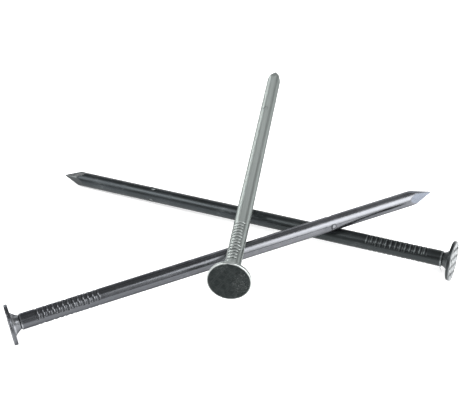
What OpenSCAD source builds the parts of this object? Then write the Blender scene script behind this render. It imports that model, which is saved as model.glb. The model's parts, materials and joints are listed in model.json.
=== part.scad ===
// Round wire nails: three loose nails lying across one another.
// Millimetres, +Z up. The nails lie on the plane z = 0, and the origin is on it, under the
// middle of the pile's outline. Each nail is one piece of drawn wire.

/* [Wire] */
// Length of a nail, from its striking face to its tip
nail_l = 140; // [115:1:170]
// Diameter of the drawn wire
shank_d = 5; // [4:0.1:6]

/* [Head] */
// Diameter of the bottom and the middle nail's head
head_d = 12.8; // [10.2:0.1:15.5]
// Diameter of the top nail's head, which was struck wider
top_head_d = 13.5; // [10.2:0.1:16.5]
// Thickness of the head's plate
plate_t = 1.2; // [0.9:0.1:2]
// Bevel round the striking face
face_bevel = 0.3; // [0.1:0.05:0.4]
// Bevel round the back of the plate
back_bevel = 0.2; // [0.1:0.05:0.4]
// Diameter of the cone where it meets the plate
cone_d = 7.4; // [6.4:0.1:9]
// Height of the cone under the plate
cone_h = 2.2; // [1.5:0.1:3]
// How far the cone's small end is sunk below the wire's surface
neck_cut = 0.4; // [0.1:0.05:0.6]

/* [Striking face] */
// Distance from one groove of the chequered face to the next
grid_pitch = 2.5; // [2:0.1:3.2]
// Width of a groove at the face
groove_w = 0.9; // [0.5:0.1:1.4]
// Depth of a groove
groove_t = 0.35; // [0.15:0.05:0.6]

/* [Grip rings] */
// Distance from the striking face to the first ring
grip_start = 8.2; // [6:0.1:12]
// Number of rings
ring_count = 13; // [6:1:16]
// Distance from one ring to the next
ring_pitch = 1.55; // [1.1:0.05:2]
// How far a ring stands above the wire's surface
ring_h = 0.1; // [0.05:0.01:0.2]
// How deep the groove between two rings is pressed
ring_cut = 0.25; // [0.1:0.05:0.4]

/* [Point and marks] */
// Length of the four-sided point
point_l = 8.4; // [6:0.1:11]
// Width of the blunt end of the point
tip_w = 0.3; // [0.1:0.1:0.8]
// Distance from the tip to the round marks that the nail machine's grips left
mark_l = 35.5; // [15:0.5:40]
// Diameter of a round mark
mark_d = 2; // [1:0.1:2.4]
// Depth of a round mark
mark_t = 0.35; // [0.1:0.05:0.5]

/* [Pile] */
// Direction of the bottom nail, from head to tip, about the vertical
bottom_turn = 153.9; // [140:0.1:170]
// Direction of the middle nail, from head to tip, about the vertical
middle_turn = 18.5; // [5:0.1:35]
// Direction of the top nail, from head to tip, about the vertical
top_turn = 80.4; // [65:0.1:100]
// Level distance along the bottom nail, from its face to where the middle nail crosses it
bottom_cross = 39; // [34:0.5:55]
// Level distance along the middle nail, from its face to where it crosses the bottom nail
middle_cross = 105.5; // [85:0.5:106]
// Level distance along the middle nail, from its face to where the top nail crosses it
middle_rest = 73; // [55:0.5:80]
// Level distance along the top nail, from its face to where it crosses the middle nail
top_cross = 21.3; // [15:0.1:30]
// Clearance between two nails that lie on each other
rest_gap = 0.12; // [0.05:0.01:0.3]

/* [Hidden] */
$fn = 96;
// Amount by which a cutting shape passes the surface it cuts
over = 1;
// Passes in which a slope that depends on itself settles
settle_passes = 12;

head_r = head_d / 2;
shank_r = shank_d / 2;
tip_r = tip_w / 2;
ring_r = shank_r + ring_h;
neck_z = plate_t + cone_h;
rim_front = face_bevel;
rim_back = plate_t - back_bevel;
shoulder = nail_l - point_l;

// Where in one ring's pitch the groove's floor and the ring's crest lie
groove_floor = 0.35;
ring_crest = 0.7;

// ---- How the nails rest on the ground and on each other ----

function way(turn) = [cos(turn), sin(turn)];

// Height of one axis above another where they cross, for two round wires whose surfaces are
// as far apart as reach says. Each slope is the rise of an axis over its level length.
function cross_rise(reach, angle, slope_a, slope_b) =
    reach * sqrt(
        pow(sin(angle), 2) + pow(slope_a, 2) + pow(slope_b, 2)
        - 2 * slope_a * slope_b * cos(angle)
    ) / abs(sin(angle));

// The bottom nail lies on its rim and on the start of its point, so it falls towards its tip
bottom_down = atan((head_r - shank_r) / (shoulder - rim_back));
bottom_z = head_r * cos(bottom_down) + rim_back * sin(bottom_down);
bottom_cross_z = bottom_z - bottom_cross * tan(bottom_down);

// The middle nail stands on its rim, and rises until it clears the bottom nail
function middle_face_z(up) = head_r * cos(up) - rim_front * sin(up);
function middle_rise(up, passes) =
    passes == 0 ? up : middle_rise(
        atan((
            bottom_cross_z
            + cross_rise(shank_d + rest_gap, middle_turn - bottom_turn, tan(up), -tan(bottom_down))
            - middle_face_z(up)
        ) / middle_cross),
        passes - 1
    );
middle_up = middle_rise(0, settle_passes);
middle_z = middle_face_z(middle_up);

// The top nail lies across the middle nail on its rings, and its tip reaches the ground
function top_cross_z(down) =
    middle_z + middle_rest * tan(middle_up)
    + cross_rise(
        ring_r + shank_r + rest_gap, top_turn - middle_turn, -tan(down), tan(middle_up)
    );
function top_fall(down, passes) =
    passes == 0 ? down : top_fall(
        asin((top_cross_z(down) + top_cross * tan(down) - shank_r * cos(down)) / shoulder),
        passes - 1
    );
top_down = top_fall(0, settle_passes);
top_z = top_cross_z(top_down) + top_cross * tan(top_down);

// Centre of each striking face on the level, with the bottom nail's as the start
bottom_at = [0, 0];
middle_at = bottom_at + bottom_cross * way(bottom_turn) - middle_cross * way(middle_turn);
top_at = middle_at + middle_rest * way(middle_turn) - top_cross * way(top_turn);

// Each place is the face's centre, the fall towards the tip, and the direction
bottom_place = [[bottom_at.x, bottom_at.y, bottom_z], bottom_down, bottom_turn];
middle_place = [[middle_at.x, middle_at.y, middle_z], -middle_up, middle_turn];
top_place = [[top_at.x, top_at.y, top_z], top_down, top_turn];
places = [bottom_place, middle_place, top_place];

// The outline's edges, from the circles that reach furthest: the rim and the point's two ends
function axis_of(place) = [
    cos(place[1]) * cos(place[2]),
    cos(place[1]) * sin(place[2]),
    -sin(place[1])
];
function circles(head_w) =
    [[rim_front, head_w / 2], [rim_back, head_w / 2], [shoulder, shank_r], [nail_l, tip_r]];
head_widths = [head_d, head_d, top_head_d];
function edges(i, side) = [
    for (n = [0 : len(places) - 1], circle = circles(head_widths[n]))
        let (place = places[n], along = axis_of(place)[i])
            place[0][i] + circle[0] * along + side * circle[1] * sqrt(1 - along * along)
];
middle_of_outline = [for (i = [0, 1]) (min(edges(i, -1)) + max(edges(i, 1))) / 2];

// ---- One nail, with its striking face at z = 0 and its tip along +Z ----

// One ring and the groove before it, as points of radius and distance from the face
function ring_outline(start) = [
    [shank_r - ring_cut, start + groove_floor * ring_pitch],
    [ring_r, start + ring_crest * ring_pitch],
    [shank_r, start + ring_pitch]
];

module turned_blank(head_w) {
    rim_r = head_w / 2;
    head_outline = [
        [0, 0],
        [rim_r - face_bevel, 0],
        [rim_r, rim_front],
        [rim_r, rim_back],
        [rim_r - back_bevel, plate_t],
        [cone_d / 2, plate_t],
        [shank_r - neck_cut, neck_z],
        [shank_r, neck_z + neck_cut / 2],
        [shank_r, grip_start]
    ];
    rings = [for (i = [0:ring_count - 1]) each ring_outline(grip_start + i * ring_pitch)];
    rotate_extrude() polygon(concat(head_outline, rings, [[shank_r, nail_l], [0, nail_l]]));
}

// A bar that narrows to the tip's width over the point's length, and clears the head
module point_bar(head_w) {
    bar_r = head_w / 2 + over;
    bar_z = nail_l - (bar_r - tip_r) * point_l / (shank_r - tip_r);
    rotate([90, 0, 0])
        linear_extrude(height = 2 * bar_r, center = true)
            polygon([
                [-bar_r, -over],
                [bar_r, -over],
                [bar_r, bar_z],
                [tip_r, nail_l],
                [-tip_r, nail_l],
                [-bar_r, bar_z]
            ]);
}

// One groove of the striking face: a V that is as wide as groove_w where it meets the face
module face_groove(head_w) {
    slope = groove_w / 2 / groove_t;
    rotate([90, 0, 0])
        linear_extrude(height = head_w + 2 * over, center = true)
            polygon([
                [-groove_w / 2 - over * slope, -over],
                [groove_w / 2 + over * slope, -over],
                [0, groove_t]
            ]);
}

module face_grid(turn, head_w) {
    lines = floor(head_w / 2 / grid_pitch + 0.5);
    for (side = [0, 90])
        for (i = [-lines + 0.5:1:lines - 0.5])
            if (abs(i) * grid_pitch < head_w / 2 - face_bevel)
                rotate([0, 0, turn + side])
                    translate([i * grid_pitch, 0, 0])
                        face_groove(head_w);
}

// The round marks, a third of a turn apart, where the machine's grips held the wire
module grip_marks(turn) {
    ball_r = (mark_d * mark_d / 4 + mark_t * mark_t) / (2 * mark_t);
    for (third = [0, 120, 240])
        rotate([0, 0, turn + third])
            translate([shank_r - mark_t + ball_r, 0, nail_l - mark_l])
                sphere(r = ball_r);
}

// The turns say where round the wire the face's grid, the round marks and the point's flats lie
module nail(head_w, grid_turn, mark_turn, point_turn) {
    difference() {
        intersection() {
            turned_blank(head_w);
            rotate([0, 0, point_turn]) point_bar(head_w);
            rotate([0, 0, point_turn + 90]) point_bar(head_w);
        }
        face_grid(grid_turn, head_w);
        grip_marks(mark_turn);
    }
}

module lay(place) {
    translate([-middle_of_outline.x, -middle_of_outline.y, 0])
        translate(place[0])
            rotate([0, 90 + place[1], place[2]])
                children();
}

// ---- The three nails ----

module bottom_nail() {
    color([0.2, 0.22, 0.24])
        lay(bottom_place)
            nail(head_d, 28, 189, 0);
}

module middle_nail() {
    color([0.68, 0.7, 0.72])
        lay(middle_place)
            nail(head_d, 10, 140, -22.5);
}

module top_nail() {
    color([0.52, 0.55, 0.54])
        lay(top_place)
            nail(top_head_d, 35, 172, 0);
}

bottom_nail();
middle_nail();
top_nail();
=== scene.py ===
"""Three loose round wire nails, lying one over another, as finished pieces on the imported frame."""

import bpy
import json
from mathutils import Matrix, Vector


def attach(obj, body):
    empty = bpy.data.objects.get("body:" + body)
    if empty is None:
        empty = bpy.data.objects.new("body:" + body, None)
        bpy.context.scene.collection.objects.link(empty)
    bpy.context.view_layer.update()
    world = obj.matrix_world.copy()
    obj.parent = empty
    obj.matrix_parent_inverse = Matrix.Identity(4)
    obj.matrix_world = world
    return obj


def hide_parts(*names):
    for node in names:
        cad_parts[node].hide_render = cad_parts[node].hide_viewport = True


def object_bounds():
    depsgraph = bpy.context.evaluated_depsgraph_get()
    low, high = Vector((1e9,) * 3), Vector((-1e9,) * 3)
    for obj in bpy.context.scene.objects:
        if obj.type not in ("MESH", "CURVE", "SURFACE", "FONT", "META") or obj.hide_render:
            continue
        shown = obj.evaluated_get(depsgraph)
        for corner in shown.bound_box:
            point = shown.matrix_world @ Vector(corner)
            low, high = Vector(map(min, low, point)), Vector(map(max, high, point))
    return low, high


bl_info = {
    "name": "Wire Nails",
    "version": (1, 0, 0),
    "blender": (4, 5, 0),
    "location": "View3D > Sidebar > Wire Nails",
    "description": "Builds three loose round wire nails with drawn, oiled and matt steel",
    "category": "Object",
}

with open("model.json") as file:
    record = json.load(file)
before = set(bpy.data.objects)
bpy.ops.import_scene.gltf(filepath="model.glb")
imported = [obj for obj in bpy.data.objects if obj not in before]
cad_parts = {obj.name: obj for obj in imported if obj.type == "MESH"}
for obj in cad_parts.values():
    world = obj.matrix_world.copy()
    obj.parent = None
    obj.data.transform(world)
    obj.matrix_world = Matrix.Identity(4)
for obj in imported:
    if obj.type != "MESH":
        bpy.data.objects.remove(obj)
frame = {"nodes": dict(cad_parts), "record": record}
CAD_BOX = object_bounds()

import json
import math

import bmesh
import bpy
import numpy as np
from bpy.props import (BoolProperty, FloatProperty, FloatVectorProperty, IntProperty,
                       PointerProperty)
from bpy.types import Operator, Panel, PropertyGroup
from mathutils import Matrix, Vector

MM = 0.001
MOUNTS = {m["name"]: m for m in frame["record"]["mounts"]}
SHANK_RADIUS = MOUNTS["top_shank"]["dims"]["r_mm"] * MM


# ---------------------------------------------------------------- places taken from the frame

def nail_axes(name):
    """Matrix at the face centre, with Z towards the tip and X pointing down."""
    seat = MOUNTS[f"{name}_strike_face"]
    face = Vector(seat["pos_m"])
    to_tip = -Vector(seat["axis"]).normalized()
    level = Vector((0, 0, 1)).cross(to_tip).normalized()
    down = level.cross(to_tip)
    return Matrix.Translation(face) @ Matrix((down, level, to_tip)).transposed().to_4x4()


def nail_extent(name):
    """Length of a nail and widest radius of its head, measured on its CAD node."""
    to_local = nail_axes(name).inverted()
    points = [to_local @ v.co for v in frame["nodes"][f"{name}_nail"].data.vertices]
    return max(p.z for p in points), max(math.hypot(p.x, p.y) for p in points)


NAIL_LENGTH, TOP_HEAD_RADIUS = nail_extent("top")
HEAD_RADIUS = nail_extent("bottom")[1]
SLIVER_TURN = math.radians(28)
SLIVER_LENGTH = 2.3 * MM
SLIVER_WIDE, SLIVER_THICK = 0.14 * MM, 0.06 * MM
RIM_LOSS, RIM_UNEVEN = 0.011, 0.009  # shares of the head's radius, so it stays inside the CAD
PIT_DEPTH, FACE_DISH, CONE_HOLLOW = 0.10 * MM, 0.05 * MM, 0.16 * MM
RIM_RIDGE, WIRE_UNEVEN, MARK_LIP = 0.05 * MM, 0.012 * MM, 0.02 * MM
POINT_CRISP, POINT_SAG = 26.0, 0.02 * MM
SHARP_ANGLE = math.radians(38)
FLOOR_RADIUS, FLOOR_DROP = 30.0, 0.02 * MM
LAMP_AWAY = 0.9


# ---------------------------------------------------------------- settings

def size(name, description, default, low=0.0, high=0.2):
    return FloatProperty(name=name, description=description, default=default, min=low, max=high,
                         unit="LENGTH", precision=5)


def share(name, description, default, low=0.0, high=1.0):
    return FloatProperty(name=name, description=description, default=default, min=low, max=high,
                         subtype="FACTOR")


def colour(name, description, default):
    return FloatVectorProperty(name=name, description=description, default=default, size=3,
                               min=0.0, max=1.0, subtype="COLOR")


def count(name, description, default, low=1, high=512):
    return IntProperty(name=name, description=description, default=default, min=low, max=high)


class NailShape(PropertyGroup):
    """Sizes of the nails, which are alike apart from the top one's wider head."""
    length: size("Length", "Striking face to tip", NAIL_LENGTH)
    shank_r: size("Shank radius", "Radius of the drawn wire", SHANK_RADIUS)
    head_r: size("Head radius", "Radius of the bottom and the middle head's rim", HEAD_RADIUS)
    top_head_r: size("Top head radius", "Radius of the top nail's wider head", TOP_HEAD_RADIUS)
    face_bevel: size("Face bevel", "Rounded edge of the striking face", 0.3 * MM)
    plate_t: size("Plate thickness", "Thickness of the head's plate", 1.2 * MM)
    back_bevel: size("Back bevel", "Rounded edge at the back of the plate", 0.2 * MM)
    cone_foot_r: size("Cone foot radius", "Radius of the cone where it meets the plate", 3.7 * MM)
    cone_top_r: size("Cone end radius", "Radius of the cone where it meets the neck step", 2.1 * MM)
    cone_end: size("Cone end", "Face to the small end of the cone", 3.4 * MM)
    neck_start: size("Neck start", "Face to the full shank behind the cone", 3.6 * MM)
    grid_pitch: size("Grid pitch", "Spacing of the grooves on the striking face", 2.5 * MM)
    groove_w: size("Groove width", "Width of a groove on the striking face", 0.9 * MM)
    groove_t: size("Groove depth", "Depth of a groove on the striking face", 0.35 * MM)
    grip_start: size("Grip start", "Face to the first grip ring", 8.2 * MM)
    ring_pitch: size("Ring pitch", "Spacing of the grip rings", 1.55 * MM)
    ring_count: count("Ring count", "Grip rings pressed under the head", 13, 1, 40)
    ring_cut: size("Ring depth", "Depth of a grip ring", 0.22 * MM)
    ring_burr: size("Ring burr", "Metal raised beside a grip ring", 0.035 * MM)
    point_l: size("Point length", "Length of the cut point", 8.4 * MM)
    tip_w: size("Tip width", "Width across the blunt tip", 0.3 * MM)
    mark_l: size("Feed mark place", "Tip to the middle of the round feed marks", 35.5 * MM)
    mark_d: size("Feed mark width", "Width of a round feed mark", 2.0 * MM)
    mark_t: size("Feed mark depth", "Depth of a round feed mark", 0.35 * MM)
    around: count("Points around", "Mesh points around the nail", 160, 32, 512)


class SteelFinish(PropertyGroup):
    """Finish of one nail's steel."""
    kept: BoolProperty(name="Keep values", default=False,
                       description="Use the values below instead of this nail's own finish")
    bare: colour("Bare steel", "Colour of the clean drawn wire", (0.30, 0.31, 0.33))
    film: colour("Film", "Colour where oxide and oil cover the wire", (0.16, 0.165, 0.17))
    # Also the colour of the painted highlight at the neck step.
    wear_and_highlight: colour("Worn edges", "Colour of rubbed edges", (0.45, 0.46, 0.48))
    cut: colour("Cut faces", "Colour of the cut flats at the point", (0.44, 0.475, 0.545))
    face: colour("Striking face", "Colour of the lands on the striking face", (0.30, 0.31, 0.32))
    # Colour painted as shade in ring troughs and on the point's upper flats, and in the darker face
    # grooves, pits, feed-mark edges and cone-end crease.
    painted_dark_colour: colour("Grime", "Colour of oil and scale in the grooves", (0.03, 0.032, 0.034))
    film_share: share("Film share", "How much of the wire the film covers", 0.35)
    head_film: share("Head film", "Extra film near the head", 0.5)
    rough: share("Roughness", "Roughness of the wire", 0.26)
    rough_spread: share("Roughness spread", "How far the roughness varies", 0.14)
    scratch: share("Scratches", "Strength of the handling scratches", 0.35)
    relief: share("Relief", "Strength of the fine surface relief", 0.3)
    edge: share("Edge tint", "How bright the steel stays at a grazing angle", 0.35)
    metal: share("Metal", "Bare metal against a dull skin of oxide or phosphate", 1.0)


class StudioLook(PropertyGroup):
    """Floor, lights and camera."""
    floor: colour("Floor", "Colour of the floor", (0.86, 0.86, 0.86))
    horizon: colour("Horizon", "Colour of the pale wall at the horizon", (0.93, 0.93, 0.93))
    dark: colour("Ceiling", "Colour of the dark room above the wall", (0.36, 0.365, 0.37))
    wall_top: FloatProperty(name="Wall top", description="Height angle where the pale wall ends",
                            default=math.radians(13), subtype="ANGLE")
    wall_fade: FloatProperty(name="Wall fade", description="Angle over which the wall fades out",
                             default=math.radians(15), subtype="ANGLE")
    dim: share("Dim side", "How much dimmer the wall is at the back right", 0.55)
    dim_way: FloatProperty(name="Dim side direction", default=math.radians(42), subtype="ANGLE",
                           description="Compass angle of the dim part of the wall")
    fill: FloatProperty(name="Fill", description="Strength of the broad soft light from above",
                        default=2.2, min=0.0)
    fill_angle: FloatProperty(name="Fill spread", description="Spread of the broad soft light",
                              default=math.radians(150), subtype="ANGLE")
    key: FloatProperty(name="Key", description="Power of the right softbox", default=8.0,
                       min=0.0, unit="POWER")
    side: FloatProperty(name="Side", description="Power of the left softbox", default=3.8,
                        min=0.0, unit="POWER")
    back: FloatProperty(name="Back", description="Power of the low light at the back left",
                        default=3.6, min=0.0, unit="POWER")
    panel: FloatProperty(name="Panel", description="Power of the dim panel behind the pile",
                         default=0.66, min=0.0, unit="POWER")
    rim: FloatProperty(name="Rim", description="Power of the small softbox at the far right",
                       default=1.0, min=0.0, unit="POWER")
    glow: share("Floor glow", "Even light from within the floor, which lifts the shadows", 0.4)
    lens: FloatProperty(name="Lens", description="Focal length of the camera", default=80.33,
                        min=1.0, unit="CAMERA")
    tilt: FloatProperty(name="Tilt", description="Downward tilt of the camera",
                        default=0.68288, subtype="ANGLE")
    roll: FloatProperty(name="Roll", description="Sideways roll of the camera",
                        default=-0.05913, subtype="ANGLE")
    eye: FloatVectorProperty(name="Eye", description="Place of the camera",
                             default=(-0.000502, -0.282885, 0.222067), size=3,
                             subtype="TRANSLATION", unit="LENGTH")


class WireNailSettings(PropertyGroup):
    """All settings of the set."""
    shape: PointerProperty(type=NailShape, name="Shape", description="Sizes of the nails")
    # The three finishes are one steel toned per nail: the bottom's dark tones are painted shade and
    # the top's lighter greys are painted reflection.
    bottom: PointerProperty(type=SteelFinish, name="Bottom", description="Dark oxide finish")
    middle: PointerProperty(type=SteelFinish, name="Middle", description="Bright finish")
    top: PointerProperty(type=SteelFinish, name="Top", description="Matt grey finish")
    studio: PointerProperty(type=StudioLook, name="Studio", description="Floor and lights")


# ---------------------------------------------------------------- small shape functions

def smooth(low, high, x):
    """0 below low, 1 above high, smooth between."""
    t = np.clip((x - low) / (high - low), 0.0, 1.0)
    return t * t * (3.0 - 2.0 * t)


def turn_gap(angle, centre):
    """Unsigned angle between two directions around the nail."""
    return np.abs((angle - centre + math.pi) % (2.0 * math.pi) - math.pi)


def ripple(rng, along, around, waves, reach):
    """Slow seeded unevenness, periodic around the nail, between about -1 and 1."""
    total = 0.0
    for _ in range(waves):
        turns = rng.integers(1, 5)
        total = total + np.sin(turns * around + along * rng.uniform(-1, 1) / reach
                               + rng.uniform(0, 2 * math.pi))
    return total / math.sqrt(waves)


def speckle(rng, x, y, amount, low, high):
    """Seeded pits: sum of soft dots at random places inside the unit disc."""
    total = np.zeros_like(x)
    for _ in range(amount):
        turn, out = rng.uniform(0, 2 * math.pi), math.sqrt(rng.uniform(0, 0.85))
        wide = rng.uniform(low, high)
        gap = (x - out * math.cos(turn)) ** 2 + (y - out * math.sin(turn)) ** 2
        total = np.maximum(total, rng.uniform(0.4, 1.0) * np.exp(-gap / wide ** 2))
    return total


# ---------------------------------------------------------------- the nail's mesh

class NailTraits:
    """What one nail has of its own: turns of its patterns and how crisp they are."""

    def __init__(self, seed, grid_turn, mark_turn, grip_turn, point_turn=0.0, grid_depth=1.0,
                 pits=16, ring_fade=0.8, land_rub=0.8, rim_rub=0.3, mark_depth=1.0,
                 ring_shade=1.0, ring_rub=0.7, ring_depth=1.0, cone_rub=0.25, upper_flat_shade=0.0,
                 groove_darkening=1.0, grip_reach=65.0, wide_head=False):
        self.seed = seed
        self.grid_turn = math.radians(grid_turn)
        self.mark_turn = math.radians(mark_turn)
        self.grip_turn = math.radians(grip_turn)
        self.point_turn = math.radians(point_turn)
        self.grid_depth = grid_depth
        self.pits = pits
        self.ring_fade = ring_fade
        self.land_rub = land_rub
        self.rim_rub = rim_rub
        self.mark_depth = mark_depth
        self.ring_shade = ring_shade
        self.ring_rub = ring_rub
        self.ring_depth = ring_depth
        self.cone_rub = cone_rub
        self.upper_flat_shade = upper_flat_shade
        self.groove_darkening = groove_darkening
        self.grip_reach = grip_reach
        self.wide_head = wide_head

    def head_r(self, shape):
        return shape.top_head_r if self.wide_head else shape.head_r


def outline(shape, head):
    """Stations from the face centre to the tip, as radius, place along the nail and part name."""
    rows = []

    def run(part, r0, z0, r1, z1, steps):
        for i in range(1, steps + 1):
            t = i / steps
            rows.append((r0 + (r1 - r0) * t, z0 + (z1 - z0) * t, part))

    r = shape.shank_r
    flat_r = head - shape.face_bevel
    back = shape.plate_t - shape.back_bevel
    grip_end = shape.grip_start + shape.ring_count * shape.ring_pitch
    point = shape.length - shape.point_l
    mark = shape.length - shape.mark_l
    run("face", 0.0, 0.0, flat_r, 0.0, 48)
    quarter = 6
    for i in range(1, quarter + 1):
        a = 0.5 * math.pi * i / quarter
        rows.append((flat_r + shape.face_bevel * math.sin(a),
                     shape.face_bevel * (1.0 - math.cos(a)), "bevel"))
    run("rim", head, shape.face_bevel, head, back, 6)
    run("back_bevel", head, back, head - shape.back_bevel, shape.plate_t, 3)
    run("back", head - shape.back_bevel, shape.plate_t, shape.cone_foot_r, shape.plate_t, 12)
    run("cone", shape.cone_foot_r, shape.plate_t, shape.cone_top_r, shape.cone_end, 14)
    run("step", shape.cone_top_r, shape.cone_end, r, shape.neck_start, 5)
    run("neck", r, shape.neck_start, r, shape.grip_start, 20)
    run("grip", r, shape.grip_start, r, grip_end, 18 * shape.ring_count)
    run("shank", r, grip_end, r, mark - shape.mark_d, 48)
    run("shank", r, mark - shape.mark_d, r, mark + shape.mark_d, 32)
    run("shank", r, mark + shape.mark_d, r, point, 14)
    run("point", r, point, r, shape.length, 72)
    run("tip", r, shape.length, 0.0, shape.length, 4)
    return rows


def face_grid(shape, traits, x, y, wider=1.0):
    """Depth share of the crossed grooves on the striking face, 0 on the lands."""
    c, s = math.cos(traits.grid_turn), math.sin(traits.grid_turn)
    deep = np.zeros_like(x)
    for across in (c * x + s * y, c * y - s * x):
        off = np.abs(across / shape.grid_pitch - np.floor(across / shape.grid_pitch) - 0.5)
        inside = np.abs(across) < 2.0 * shape.grid_pitch
        cut = np.clip(1.0 - off * shape.grid_pitch / (0.5 * shape.groove_w * wider), 0.0, 1.0)
        deep = np.maximum(deep, cut * inside)
    return deep


def grip_relief(shape, traits, rng, along, around):
    """Rings pressed by two die halves: cut depth share and burr share."""
    place = (along - shape.grip_start) / shape.ring_pitch
    ring = np.floor(place)
    within = place - ring
    index = np.clip(ring, 0, shape.ring_count - 1).astype(int)
    on = (place > 0) & (place < shape.ring_count)
    cut, burr = np.zeros_like(along), np.zeros_like(along)
    for half in (0.0, math.pi):
        deep = rng.uniform(0.72, 1.0, shape.ring_count)
        deep = deep * np.linspace(1.0, traits.ring_fade, shape.ring_count)
        left = np.radians(traits.grip_reach + rng.uniform(-7, 7, shape.ring_count))
        right = np.radians(traits.grip_reach + rng.uniform(-7, 7, shape.ring_count))
        slide = rng.uniform(-0.05, 0.05, shape.ring_count)
        turned = (around - traits.grip_turn - half + math.pi) % (2.0 * math.pi) - math.pi
        reach = np.where(turned < 0, left[index], right[index])
        window = smooth(0.0, math.radians(11), reach - np.abs(turned)) * on
        u = within - slide[index]
        trough = smooth(0.03, 0.13, u) * (1.0 - smooth(0.40, 0.52, u))
        lip = np.exp(-((u - 0.61) / 0.08) ** 2) + 0.7 * np.exp(-((u + 0.03) / 0.05) ** 2)
        cut = np.maximum(cut, window * trough * deep[index])
        burr = np.maximum(burr, window * lip * deep[index])
    return cut, burr


def feed_marks(shape, traits, along, around):
    """Three round marks left by the feed: depth share, raised lip share and darker edge share."""
    away = np.full_like(along, 9.0)
    for third in range(3):
        gap = turn_gap(around, traits.mark_turn + third * 2.0 * math.pi / 3.0)
        away = np.minimum(away, np.hypot(gap * shape.shank_r,
                                         along - (shape.length - shape.mark_l)))
    away = away / (0.5 * shape.mark_d)
    dent = np.clip(1.0 - away ** 2, 0.0, 1.0) ** 0.8
    return dent, np.exp(-((away - 1.08) / 0.13) ** 2), np.exp(-((away - 0.84) / 0.15) ** 2)


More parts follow.
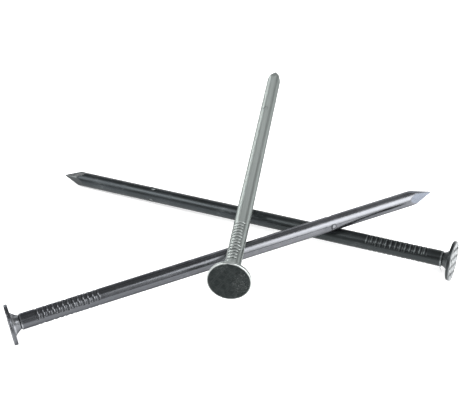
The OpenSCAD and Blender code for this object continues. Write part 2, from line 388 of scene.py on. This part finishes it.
def nail_surface(shape, traits):
    """Places of every mesh point of a nail along Z, with its wear (and the painted highlight at the
    neck step) and how dark it is painted: painted shade in ring troughs and on the point's upper
    flats, darker in face grooves, pits, round feed marks and at the cone's small end.
    """
    rng = np.random.default_rng(traits.seed)
    head_r = traits.head_r(shape)
    rows = outline(shape, head_r)
    part = np.array([p for _, _, p in rows])
    steps = shape.around
    around = np.linspace(0.0, 2.0 * math.pi, steps, endpoint=False)[None, :]
    radius = np.array([r for r, _, _ in rows])[:, None] + 0.0 * around
    along = np.array([z for _, z, _ in rows])[:, None] + 0.0 * around
    around = around + 0.0 * radius
    place = along.copy()
    wear_and_highlight, sunk = np.zeros_like(radius), np.zeros_like(radius)

    def rows_of(*names):
        return np.isin(part, names)

    # head: slightly out of round, never outside the true rim
    head = rows_of("face", "bevel", "rim", "back_bevel", "back")
    uneven = 0.5 + 0.5 * np.clip(ripple(rng, 0.0, around, 4, 1.0) / 1.6, -1, 1)
    out = np.clip(radius / head_r, 0.0, 1.0) ** 2
    radius = np.where(head[:, None], radius * (1.0 - (RIM_LOSS + RIM_UNEVEN * uneven) * out),
                      radius)

    # striking face: crossed grooves, rim notches, pits and a rubbed middle
    x, y = radius * np.cos(around), radius * np.sin(around)
    grid = face_grid(shape, traits, x, y) * traits.grid_depth
    pits = speckle(rng, x / head_r, y / head_r, traits.pits, 0.02, 0.07)
    dish = FACE_DISH * (1.0 - (radius / head_r) ** 2)
    on_face = rows_of("face")[:, None]
    rim_share = np.where(rows_of("bevel")[:, None],
                         np.clip(1.0 - along / shape.face_bevel, 0, 1), 0.0)
    face_depth = shape.groove_t * grid + PIT_DEPTH * pits + dish
    along = np.where(on_face, face_depth, along)
    along = np.where(rows_of("bevel")[:, None],
                     along + (shape.groove_t * 0.7 * grid) * rim_share, along)
    edge = np.exp(-((radius - head_r + 0.7 * shape.face_bevel) / (0.22 * MM)) ** 2)
    # Darker in the grooves and pits of the striking face.
    groove_dark = traits.groove_darkening * smooth(0.02, 0.20, face_grid(shape, traits, x, y, 1.25))
    sunk = np.where(on_face, np.maximum(groove_dark, 0.8 * pits), sunk)
    land_edge = np.exp(-((grid - 0.12) / 0.12) ** 2) * (grid > 0.001)
    rubbed = np.clip(traits.land_rub * (0.35 + land_edge) * (1.0 - sunk), 0, 1)
    wear_and_highlight = np.where(on_face, rubbed, wear_and_highlight)
    near_edge = rows_of("bevel", "back_bevel")[:, None] | on_face
    wear_and_highlight = np.where(near_edge, np.maximum(wear_and_highlight, traits.rim_rub * edge), wear_and_highlight)

    # rim: a faint ridge where the header's dies met
    on_rim = rows_of("rim")[:, None]
    mid_rim = 0.5 * (shape.face_bevel + shape.plate_t - shape.back_bevel)
    ridge = np.exp(-((place - mid_rim) / (0.10 * MM)) ** 2)
    radius = np.where(on_rim, radius - RIM_RIDGE * (1.0 - ridge), radius)
    wear_and_highlight = np.where(on_rim, traits.rim_rub * ridge, wear_and_highlight)

    # cone: slightly hollow and rubbed, with a bright line at the neck step that is a painted
    # highlight, and a darker line in the crease at the cone's small end
    on_cone = rows_of("cone")[:, None]
    t = np.clip((place - shape.plate_t) / (shape.cone_end - shape.plate_t), 0, 1)
    hollow = CONE_HOLLOW * np.sin(math.pi * t)
    radius = np.where(on_cone, radius - hollow, radius)
    wear_and_highlight = np.where(on_cone, traits.cone_rub * (0.35 + np.exp(-((t - 0.12) / 0.1) ** 2)), wear_and_highlight)
    # Painted highlight: a bright line at the neck step.
    lip = np.exp(-((place - shape.neck_start) / (0.24 * MM)) ** 2)
    wear_and_highlight = np.where(rows_of("step", "neck")[:, None], np.maximum(wear_and_highlight, lip), wear_and_highlight)
    # A darker line painted in the crease at the cone's small end.
    foot = np.exp(-((place - shape.cone_end) / (0.10 * MM)) ** 2)
    sunk = np.where(rows_of("cone", "step")[:, None], np.maximum(sunk, 0.4 * foot), sunk)

    # neck and grip rings
    long_part = rows_of("neck", "grip", "shank")[:, None]
    cut, burr = (mark * long_part for mark in grip_relief(shape, traits, rng, place, around))
    radius = radius - (shape.ring_cut * cut - shape.ring_burr * burr) * traits.ring_depth
    # Painted shade in the ring troughs.
    sunk = np.maximum(sunk, np.clip(1.3 * cut, 0, 1) * traits.ring_shade)
    wear_and_highlight = np.maximum(wear_and_highlight, np.clip(traits.ring_rub * burr, 0, 1))

    # shank: the wire is never quite even
    calm = smooth(shape.neck_start, shape.neck_start + 2 * MM, place) * long_part
    wave = ripple(rng, place, around, 6, 9 * MM)
    radius = radius - WIRE_UNEVEN * (0.5 + 0.5 * np.clip(wave, -1.5, 1.5) / 1.5) * calm
    dent, raised, edge_dark = feed_marks(shape, traits, place, around)
    shank = rows_of("shank")[:, None] * traits.mark_depth
    radius = radius - shank * (shape.mark_t * dent - MARK_LIP * raised)
    wear_and_highlight = np.maximum(wear_and_highlight, shank * 0.5 * dent ** 3)
    # A darker ring painted round each feed mark.
    sunk = np.maximum(sunk, shank * 0.85 * edge_dark)

    # point: four pressed flats that meet in slightly rounded edges
    on_point = rows_of("point", "tip")[:, None]
    start = shape.length - shape.point_l
    half = shape.shank_r + (0.5 * shape.tip_w - shape.shank_r) * (place - start) / shape.point_l
    turned = around - traits.point_turn
    across, beside = np.abs(np.cos(turned)), np.abs(np.sin(turned))
    flat = half / (across ** POINT_CRISP + beside ** POINT_CRISP) ** (1.0 / POINT_CRISP)
    limit = np.minimum(shape.shank_r, flat)
    cap = np.where(rows_of("tip")[:, None], radius / shape.shank_r, 1.0)
    radius = np.where(on_point, limit * cap, radius)
    pressed = smooth(0.0, 0.12 * MM, shape.shank_r - limit) * on_point
    # Painted shade on the point's flats that face up.
    upper_shade = smooth(0.6, 0.8, -np.cos(turned)) * traits.upper_flat_shade
    corner = turn_gap(4.0 * turned, math.pi)
    ridge = np.exp(-(corner / 0.35) ** 2) * pressed
    wear_and_highlight = np.where(pressed > 0, np.maximum(wear_and_highlight * (1 - pressed), 0.6 * ridge), wear_and_highlight)
    sunk = np.where(pressed > 0, np.maximum(sunk, upper_shade * pressed), sunk)
    sag = POINT_SAG * pressed * (1.0 + ripple(rng, place, around, 5, 1.2 * MM))
    radius = np.where(on_point & ~rows_of("tip")[:, None], radius - np.abs(sag) * 0.5, radius)

    points = np.stack((radius * np.cos(around), radius * np.sin(around), along), axis=-1)
    struck = rows_of("face")[:, None] + 0.3 * rows_of("bevel")[:, None] + 0.0 * radius
    return points, {"wear_and_highlight": wear_and_highlight, "sunk": sunk, "pressed": pressed, "struck": struck}


def keep_marks(mesh, places, marks):
    """Stores each point's place along the nail and its wear, for the steel to read."""
    layer = mesh.attributes.new("nail_place", "FLOAT_VECTOR", "POINT")
    layer.data.foreach_set("vector", places.astype(np.float32).ravel())
    for label, values in marks.items():
        layer = mesh.attributes.new(label, "FLOAT", "POINT")
        layer.data.foreach_set("value", values.astype(np.float32))


def finish_mesh(mesh):
    """Faces outward, smooth, with the true edges kept sharp."""
    work = bmesh.new()
    work.from_mesh(mesh)
    bmesh.ops.recalc_face_normals(work, faces=work.faces)
    work.to_mesh(mesh)
    work.free()
    mesh.polygons.foreach_set("use_smooth", np.ones(len(mesh.polygons), bool))
    mesh.set_sharp_from_angle(angle=SHARP_ANGLE)
    mesh.update()


def nail_mesh(name, shape, traits, axes):
    """A closed, evenly laid mesh of one nail in its place, with its wear kept as point values."""
    points, marks = nail_surface(shape, traits)
    rows, steps = points.shape[:2]
    flat = points.reshape(-1, 3)
    # the last station is a single point, the tip's middle, and the face has one of its own
    keep_rows = rows - 1
    body = flat[: keep_rows * steps]
    face_mid = np.array([[0.0, 0.0, points[0, :, 2].mean()]])
    tip_mid = np.array([[0.0, 0.0, shape.length]])
    centre = len(body)
    verts = np.vstack((body, face_mid, tip_mid))
    row = np.arange(keep_rows - 1)[:, None] * steps
    j = np.arange(steps)[None, :]
    nxt = (j + 1) % steps
    quads = np.stack((row + j, row + nxt, row + steps + nxt, row + steps + j), axis=-1)
    quads = quads.reshape(-1, 4)[:, ::-1]
    j = np.arange(steps)
    nxt = (j + 1) % steps
    fan = np.stack((nxt, j, np.full(steps, centre)), axis=-1)[:, ::-1]
    last = (keep_rows - 1) * steps
    end = np.stack((last + j, last + nxt, np.full(steps, centre + 1)), axis=-1)[:, ::-1]
    mesh = bpy.data.meshes.new(name)
    faces = [tuple(f) for f in fan.tolist()] + [tuple(f) for f in quads.tolist()]
    faces += [tuple(f) for f in end.tolist()]
    turn = np.array(axes.to_3x3())
    placed = verts @ turn.T + np.array(axes.translation)
    mesh.from_pydata(placed.tolist(), [], faces)
    keep_marks(mesh, verts, {
        label: np.append(values.reshape(-1)[: keep_rows * steps],
                         (values[0].mean(), values[-1].mean()))
        for label, values in marks.items()})
    finish_mesh(mesh)
    return mesh


def sliver_mesh(name, shape, axes):
    """A thin curl of metal that hangs from the neck's lower edge, as a closed tapering strip."""
    reach = shape.shank_r * 0.95
    root = axes @ Vector((math.cos(SLIVER_TURN) * reach, math.sin(SLIVER_TURN) * reach,
                          shape.neck_start + 0.25 * MM))
    side = (axes.to_3x3() @ Vector((0, 0, -1))).normalized()
    steps, sides = 20, 8
    share = np.linspace(0.0, 1.0, steps)[:, None]
    angle = np.linspace(0.0, 2.0 * math.pi, sides, endpoint=False)[None, :]
    hang, curl = SLIVER_LENGTH * share, 0.45 * MM * share ** 2 - 0.10 * MM * np.sin(6.0 * share)
    wide = SLIVER_WIDE * (1.0 - 0.72 * share) * np.cos(angle)
    thick = SLIVER_THICK * (1.0 - 0.5 * share) * np.sin(angle)
    level = Vector((0, 0, 1)).cross(side).normalized()
    verts = (np.array(root) + hang[..., None] * np.array((0.0, 0.0, -1.0))
             + (curl + wide)[..., None] * np.array(side) + thick[..., None] * np.array(level))
    verts = verts.reshape(-1, 3)
    rows, j = np.arange(steps - 1)[:, None] * sides, np.arange(sides)[None, :]
    nxt = (j + 1) % sides
    quads = np.stack((rows + j, rows + nxt, rows + sides + nxt, rows + sides + j), axis=-1)
    faces = [tuple(f) for f in quads.reshape(-1, 4).tolist()]
    faces += [tuple(range(sides)), tuple(range((steps - 1) * sides, steps * sides))]
    mesh = bpy.data.meshes.new(name)
    mesh.from_pydata(verts.tolist(), [], faces)
    back = axes.inverted()
    keep_marks(mesh, np.array([back @ v.co for v in mesh.vertices]),
               {"wear_and_highlight": np.full(len(verts), 0.8), "sunk": np.zeros(len(verts)),
                "pressed": np.zeros(len(verts)), "struck": np.zeros(len(verts))})
    finish_mesh(mesh)
    return mesh


# ---------------------------------------------------------------- steel

class NodeBench:
    """Adds and joins shader nodes with few words."""

    def __init__(self, tree):
        self.tree = tree
        self.tree.nodes.clear()

    def add(self, kind, values=None, **settings):
        node = self.tree.nodes.new(kind)
        for key, value in settings.items():
            setattr(node, key, value)
        for key, value in (values or {}).items():
            self.feed(node.inputs[key], value)
        return node

    def feed(self, socket, value):
        if isinstance(value, bpy.types.NodeSocket):
            self.tree.links.new(value, socket)
        else:
            socket.default_value = value

    def sum(self, operation, a, b, clamp=False):
        node = self.add("ShaderNodeMath", operation=operation, use_clamp=clamp)
        self.feed(node.inputs[0], a)
        self.feed(node.inputs[1], b)
        return node.outputs[0]

    def blend(self, share, a, b):
        node = self.add("ShaderNodeMix", data_type="RGBA")
        self.feed(node.inputs["Factor"], share)
        self.feed(node.inputs[6], a if isinstance(a, bpy.types.NodeSocket) else (*a, 1.0))
        self.feed(node.inputs[7], b if isinstance(b, bpy.types.NodeSocket) else (*b, 1.0))
        return node.outputs[2]

    def window(self, value, low, high, start=0.0, end=1.0):
        node = self.add("ShaderNodeMapRange", {"Value": value, "From Min": low, "From Max": high,
                                               "To Min": start, "To Max": end})
        return node.outputs["Result"]

    def noise(self, place, scale, stretch=(1, 1, 1), turn=(0, 0, 0), detail=4.0, rough=0.6):
        spot = self.add("ShaderNodeMapping", {"Vector": place, "Scale": stretch, "Rotation": turn})
        node = self.add("ShaderNodeTexNoise", {"Vector": spot.outputs["Vector"], "Scale": scale,
                                               "Detail": detail, "Roughness": rough})
        return node.outputs["Fac"]


def drawn_steel(name, finish):
    """Drawn wire: film, bare streaks, rubbed edges with a painted highlight, painted shade and
    darker grooves, scratches and fine relief.
    """
    material = bpy.data.materials.new(name)
    material.use_nodes = True
    bench = NodeBench(material.node_tree)
    place = bench.add("ShaderNodeAttribute", attribute_name="nail_place").outputs["Vector"]
    split = bench.add("ShaderNodeSeparateXYZ", {"Vector": place})
    struck = bench.add("ShaderNodeAttribute", attribute_name="struck").outputs["Fac"]
    pressed = bench.add("ShaderNodeAttribute", attribute_name="pressed").outputs["Fac"]
    wear_and_highlight = bench.add("ShaderNodeAttribute", attribute_name="wear_and_highlight").outputs["Fac"]
    sunk = bench.add("ShaderNodeAttribute", attribute_name="sunk").outputs["Fac"]

    streaks = bench.noise(place, 1.0, (750, 750, 9), detail=5.0)
    lines = bench.noise(place, 1.0, (3600, 3600, 36), detail=3.0)
    patches = bench.noise(place, 110.0, detail=6.0, rough=0.65)
    grain = bench.noise(place, 1900.0, detail=3.0)
    rub = bench.noise(place, 420.0, detail=5.0, rough=0.7)
    nicks = bench.noise(place, 1.0, (2100, 2100, 70), turn=(0.35, 0.2, 0.0), detail=2.0)
    scratch = bench.window(bench.sum("ABSOLUTE", bench.sum("SUBTRACT", nicks, 0.5), 0.0),
                           0.0, 0.012, 1.0, 0.0)
    scratch = bench.sum("MULTIPLY", scratch, bench.window(patches, 0.50, 0.62))
    scratch = bench.sum("MULTIPLY", scratch, finish.scratch)

    film = bench.sum("ADD", bench.sum("MULTIPLY", streaks, 0.55),
                     bench.sum("MULTIPLY", patches, 0.45))
    near_head = bench.window(split.outputs["Z"], 0.035, 0.085, finish.head_film, 0.0)
    film = bench.window(bench.sum("SUBTRACT", film, bench.sum("MULTIPLY", near_head, 0.3)),
                        finish.film_share - 0.02, finish.film_share + 0.30)
    colour_now = bench.blend(film, finish.film, finish.bare)
    colour_now = bench.blend(bench.sum("MULTIPLY", struck, bench.window(rub, 0.2, 0.5, 0.92, 1.0)),
                             colour_now, finish.face)
    colour_now = bench.blend(bench.sum("MULTIPLY", pressed, bench.window(rub, 0.25, 0.5, 0.7, 1.0)),
                             colour_now, finish.cut)
    colour_now = bench.blend(scratch, colour_now, finish.wear_and_highlight)
    # Rubbed edges, with the painted highlight at the neck step.
    rubbed = bench.sum("MULTIPLY", wear_and_highlight, bench.window(rub, 0.25, 0.5, 0.5, 1.0))
    colour_now = bench.blend(rubbed, colour_now, finish.wear_and_highlight)
    # Painted shade in ring troughs and on upper point flats; darker face grooves, pits, feed-mark
    # edges and cone-end crease.
    painted_dark_share = bench.sum("MULTIPLY", sunk, bench.window(rub, 0.25, 0.6, 1.0, 0.55))
    colour_now = bench.blend(painted_dark_share, colour_now, finish.painted_dark_colour)

    spread = finish.rough_spread
    rough = bench.window(streaks, 0.3, 0.7, finish.rough - spread, finish.rough + spread)
    rough = bench.sum("ADD", rough, bench.window(patches, 0.3, 0.7, -0.05, 0.05))
    rough = bench.sum("SUBTRACT", rough, bench.sum("MULTIPLY", rubbed, 0.08))
    rough = bench.sum("ADD", rough, bench.sum("MULTIPLY", painted_dark_share, 0.22), clamp=True)
    rough = bench.sum("MAXIMUM", rough, 0.06)

    height = bench.sum("ADD", bench.sum("MULTIPLY", lines, 0.5),
                       bench.sum("MULTIPLY", streaks, 0.35))
    height = bench.sum("ADD", height, bench.sum("MULTIPLY", grain, 0.25))
    height = bench.sum("SUBTRACT", height, bench.sum("MULTIPLY", scratch, 0.5))
    bump = bench.add("ShaderNodeBump", {"Height": height, "Strength": finish.relief,
                                        "Distance": 0.03 * MM})
    shader = bench.add("ShaderNodeBsdfPrincipled", {
        "Base Color": colour_now, "Roughness": rough, "Normal": bump.outputs["Normal"],
        "Metallic": finish.metal, "Specular Tint": (finish.edge, finish.edge, finish.edge, 1.0)})
    bench.add("ShaderNodeOutputMaterial", {"Surface": shader.outputs["BSDF"]})
    return material


# ---------------------------------------------------------------- floor and lights

def floor_paint(look):
    """Pale matt board with a barely seen tone."""
    material = bpy.data.materials.new("pale_board")
    material.use_nodes = True
    bench = NodeBench(material.node_tree)
    place = bench.add("ShaderNodeTexCoord").outputs["Object"]
    tone = bench.noise(place, 6.0, detail=3.0)
    paler = [min(1.0, c * 1.01) for c in look.floor]
    shade = bench.blend(tone, list(look.floor), paler)
    shader = bench.add("ShaderNodeBsdfPrincipled", {
        "Base Color": shade, "Roughness": 0.9, "Specular IOR Level": 0.1,
        "Emission Color": (1.0, 1.0, 1.0, 1.0), "Emission Strength": look.glow})
    bench.add("ShaderNodeOutputMaterial", {"Surface": shader.outputs["BSDF"]})
    return material


def studio_world(look):
    """Pale wall low down, dark room above it."""
    world = bpy.data.worlds.new("studio_room")
    world.use_nodes = True
    bench = NodeBench(world.node_tree)
    way = bench.add("ShaderNodeTexCoord").outputs["Generated"]
    rise = bench.add("ShaderNodeSeparateXYZ", {"Vector": way}).outputs["Z"]
    low, high = math.sin(look.wall_top), math.sin(look.wall_top + look.wall_fade)
    fade = bench.add("ShaderNodeMapRange", {"Value": rise, "From Min": low, "From Max": high},
                     interpolation_type="SMOOTHSTEP").outputs["Result"]
    toward = bench.add("ShaderNodeVectorMath", {0: way, 1: (math.sin(look.dim_way),
                                                            math.cos(look.dim_way), 0.0)},
                       operation="DOT_PRODUCT").outputs["Value"]
    dim = bench.window(toward, 0.78, 0.96, 0.0, look.dim)
    wall = bench.blend(dim, list(look.horizon), (0.0, 0.0, 0.0))
    shade = bench.blend(fade, wall, list(look.dark))
    room = bench.add("ShaderNodeBackground", {"Color": shade, "Strength": 1.0})
    bench.add("ShaderNodeOutputWorld", {"Surface": room.outputs["Background"]})
    bpy.context.scene.world = world


def softbox(name, compass, height, wide, tall, power):
    """An area light at a compass angle, clockwise from the back, and a height angle."""
    lamp = bpy.data.lights.new(name, "AREA")
    lamp.shape = "RECTANGLE"
    lamp.size, lamp.size_y, lamp.energy = wide, tall, power
    thing = bpy.data.objects.new(name, lamp)
    level = math.cos(math.radians(height))
    way = Vector((math.sin(math.radians(compass)) * level,
                  math.cos(math.radians(compass)) * level, math.sin(math.radians(height))))
    thing.location = way * LAMP_AWAY
    thing.rotation_euler = way.to_track_quat("Z", "Y").to_euler()
    thing.visible_camera = False
    bpy.context.scene.collection.objects.link(thing)


# ---------------------------------------------------------------- operators

class NailMaker:
    """Shared work of the three nail operators."""
    nail = ""
    slot = ""

    def traits(self):
        raise NotImplementedError

    def tune(self, finish):
        """Sets this nail's own finish, on its first build."""

    def extras(self, shape):
        """Meshes of loose bits that hang on the nail."""
        return []

    def execute(self, context):
        settings = context.scene.wire_nails
        node = f"{self.nail}_nail"
        if node not in frame["nodes"]:
            raise RuntimeError(f"the frame has no node {node}")
        finish = getattr(settings, self.nail)
        if not finish.kept:
            self.tune(finish)
            finish.kept = True
        mesh = nail_mesh(f"{self.nail}_wire_nail", settings.shape, self.traits(),
                         nail_axes(self.nail))
        if not mesh.polygons:
            raise RuntimeError(f"{node} came out empty")
        steel = drawn_steel(self.slot, finish)
        for part in [mesh] + self.extras(settings.shape):
            piece = bpy.data.objects.new(part.name, part)
            context.scene.collection.objects.link(piece)
            part.materials.append(steel)
            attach(piece, node)
            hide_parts(node)
        return {"FINISHED"}


class WIRENAILS_OT_bottom(NailMaker, Operator):
    """Builds the bottom nail, in drawn wire toned dark as painted shade, with the sliver at its neck
    """
    bl_idname = "wire_nails.bottom"
    bl_label = "Bottom Nail"
    nail = "bottom"
    slot = "dark_steel"

    def traits(self):
        return NailTraits(11, 28, 189, 183, ring_fade=0.75, ring_rub=0.6, ring_depth=0.6,
                          rim_rub=0.05)

    def extras(self, shape):
        return [sliver_mesh("bottom_neck_sliver", shape, nail_axes(self.nail))]

    def tune(self, finish):
        # The dark bare, film and cut tones are painted shade: the same steel as the other nails,
        # toned dark for the dark surroundings this nail reflects.
        finish.bare = (0.046, 0.052, 0.057)
        finish.film = (0.029, 0.033, 0.034)
        finish.wear_and_highlight = (0.32, 0.345, 0.35)
        finish.cut = (0.032, 0.036, 0.038)
        finish.face = (0.46, 0.48, 0.49)
        finish.painted_dark_colour = (0.008, 0.009, 0.010)
        finish.film_share = 0.38
        finish.head_film = 0.6
        finish.rough = 0.33
        finish.edge = 0.8
        finish.metal = 0.9


class WIRENAILS_OT_middle(NailMaker, Operator):
    """Builds the middle nail, in bright drawn wire under a film of oil"""
    bl_idname = "wire_nails.middle"
    bl_label = "Middle Nail"
    nail = "middle"
    slot = "bright_steel"

    def traits(self):
        return NailTraits(23, 10, 140, 185, point_turn=-22.5, ring_shade=0.6, ring_rub=0.6,
                          ring_depth=0.8, rim_rub=0.1, cone_rub=0.8, upper_flat_shade=0.6)

    def tune(self, finish):
        finish.bare = (0.215, 0.22, 0.235)
        finish.film = (0.088, 0.092, 0.10)
        finish.wear_and_highlight = (0.36, 0.37, 0.39)
        finish.cut = (0.21, 0.23, 0.27)
        finish.head_film = 0.9


class WIRENAILS_OT_top(NailMaker, Operator):
    """Builds the top nail, in matt wire toned a lighter grey as painted reflection, with a rubbed
    striking face painted near black as a painted dark reflection
    """
    bl_idname = "wire_nails.top"
    bl_label = "Top Nail"
    nail = "top"
    slot = "grey_steel"

    def traits(self):
        return NailTraits(37, 35, 172, 146, grid_depth=0.3, pits=60, ring_fade=0.8, land_rub=0.02,
                          rim_rub=0.6, mark_depth=0.35, groove_darkening=0.2, grip_reach=74,
                          wide_head=True)

    def tune(self, finish):
        # The lighter greys here are painted reflection of the grey room: the same steel as the other
        # nails, toned lighter.
        finish.bare = (0.37, 0.40, 0.388)
        finish.film = (0.30, 0.325, 0.316)
        # The near-black face colour is a painted dark reflection.
        finish.face = (0.012, 0.015, 0.015)
        finish.edge = 0.2
        finish.wear_and_highlight = (0.72, 0.75, 0.74)
        finish.cut = (0.34, 0.37, 0.36)
        finish.painted_dark_colour = (0.016, 0.018, 0.018)
        finish.head_film = 0.1
        finish.rough = 0.36
        finish.rough_spread = 0.06


class WIRENAILS_OT_stage(Operator):
    """Lays the pale floor, the room, the soft lights and the camera"""
    bl_idname = "wire_nails.stage"
    bl_label = "Stage"

    def execute(self, context):
        look = context.scene.wire_nails.studio
        work = bmesh.new()
        bmesh.ops.create_circle(work, cap_ends=True, segments=96, radius=FLOOR_RADIUS)
        mesh = bpy.data.meshes.new("floor_board")
        work.to_mesh(mesh)
        work.free()
        if not mesh.polygons:
            raise RuntimeError("the floor came out empty")
        mesh.materials.append(floor_paint(look))
        board = bpy.data.objects.new("floor_board", mesh)
        board.location.z = CAD_BOX[0][2] - FLOOR_DROP
        context.scene.collection.objects.link(board)
        studio_world(look)
        sky = bpy.data.lights.new("broad_fill", "SUN")
        sky.energy, sky.angle = look.fill, look.fill_angle
        fill = bpy.data.objects.new("broad_fill", sky)
        fill.location.z = 2.0
        fill.visible_glossy = False
        context.scene.collection.objects.link(fill)
        softbox("right_softbox", 129, 40, 0.56, 0.84, look.key)
        softbox("left_softbox", -104, 48, 0.42, 0.40, look.side)
        softbox("back_softbox", -24, 0, 0.60, 0.16, look.back)
        softbox("panel_softbox", 14, 22, 0.62, 0.26, look.panel)
        softbox("rim_softbox", 88, 26, 0.30, 0.34, look.rim)
        self.aim_camera(context, look)
        context.scene.view_settings.view_transform = "Standard"
        return {"FINISHED"}

    def aim_camera(self, context, look):
        lens = bpy.data.cameras.new("bench_camera")
        lens.sensor_fit = "HORIZONTAL"
        lens.lens = look.lens
        lens.clip_start, lens.clip_end = 0.01, 100.0
        camera = bpy.data.objects.new("bench_camera", lens)
        ahead = Vector((0, math.cos(look.tilt), -math.sin(look.tilt)))
        right = Vector((1, 0, 0))
        up = right.cross(ahead)
        c, s = math.cos(look.roll), math.sin(look.roll)
        basis = Matrix((right * c + up * s, up * c - right * s, -ahead)).transposed()
        camera.matrix_world = Matrix.Translation(look.eye) @ basis.to_4x4()
        context.scene.collection.objects.link(camera)
        context.scene.camera = camera


class WIRENAILS_PT_panel(Panel):
    """Lists the nails and the stage"""
    bl_idname = "WIRENAILS_PT_panel"
    bl_label = "Wire Nails"
    bl_space_type = "VIEW_3D"
    bl_region_type = "UI"
    bl_category = "Wire Nails"

    def draw(self, context):
        settings = context.scene.wire_nails
        for operator in OPERATORS:
            self.layout.operator(operator.bl_idname)
        for label in ("shape", "bottom", "middle", "top", "studio"):
            group = getattr(settings, label)
            box = self.layout.box()
            for key in group.bl_rna.properties.keys():
                if key not in ("rna_type", "name"):
                    box.prop(group, key)


OPERATORS = (WIRENAILS_OT_stage, WIRENAILS_OT_bottom, WIRENAILS_OT_middle, WIRENAILS_OT_top)
CLASSES = (NailShape, SteelFinish, StudioLook, WireNailSettings, *OPERATORS, WIRENAILS_PT_panel)


def register():
    for item in CLASSES:
        bpy.utils.register_class(item)
    bpy.types.Scene.wire_nails = PointerProperty(type=WireNailSettings, name="Wire Nails",
                                                 description="Settings of the wire nails")


def unregister():
    del bpy.types.Scene.wire_nails
    for item in reversed(CLASSES):
        bpy.utils.unregister_class(item)


def main():
    register()
    bpy.ops.wire_nails.stage()
    bpy.ops.wire_nails.bottom()
    bpy.ops.wire_nails.middle()
    bpy.ops.wire_nails.top()


if __name__ == "__main__":
    main()
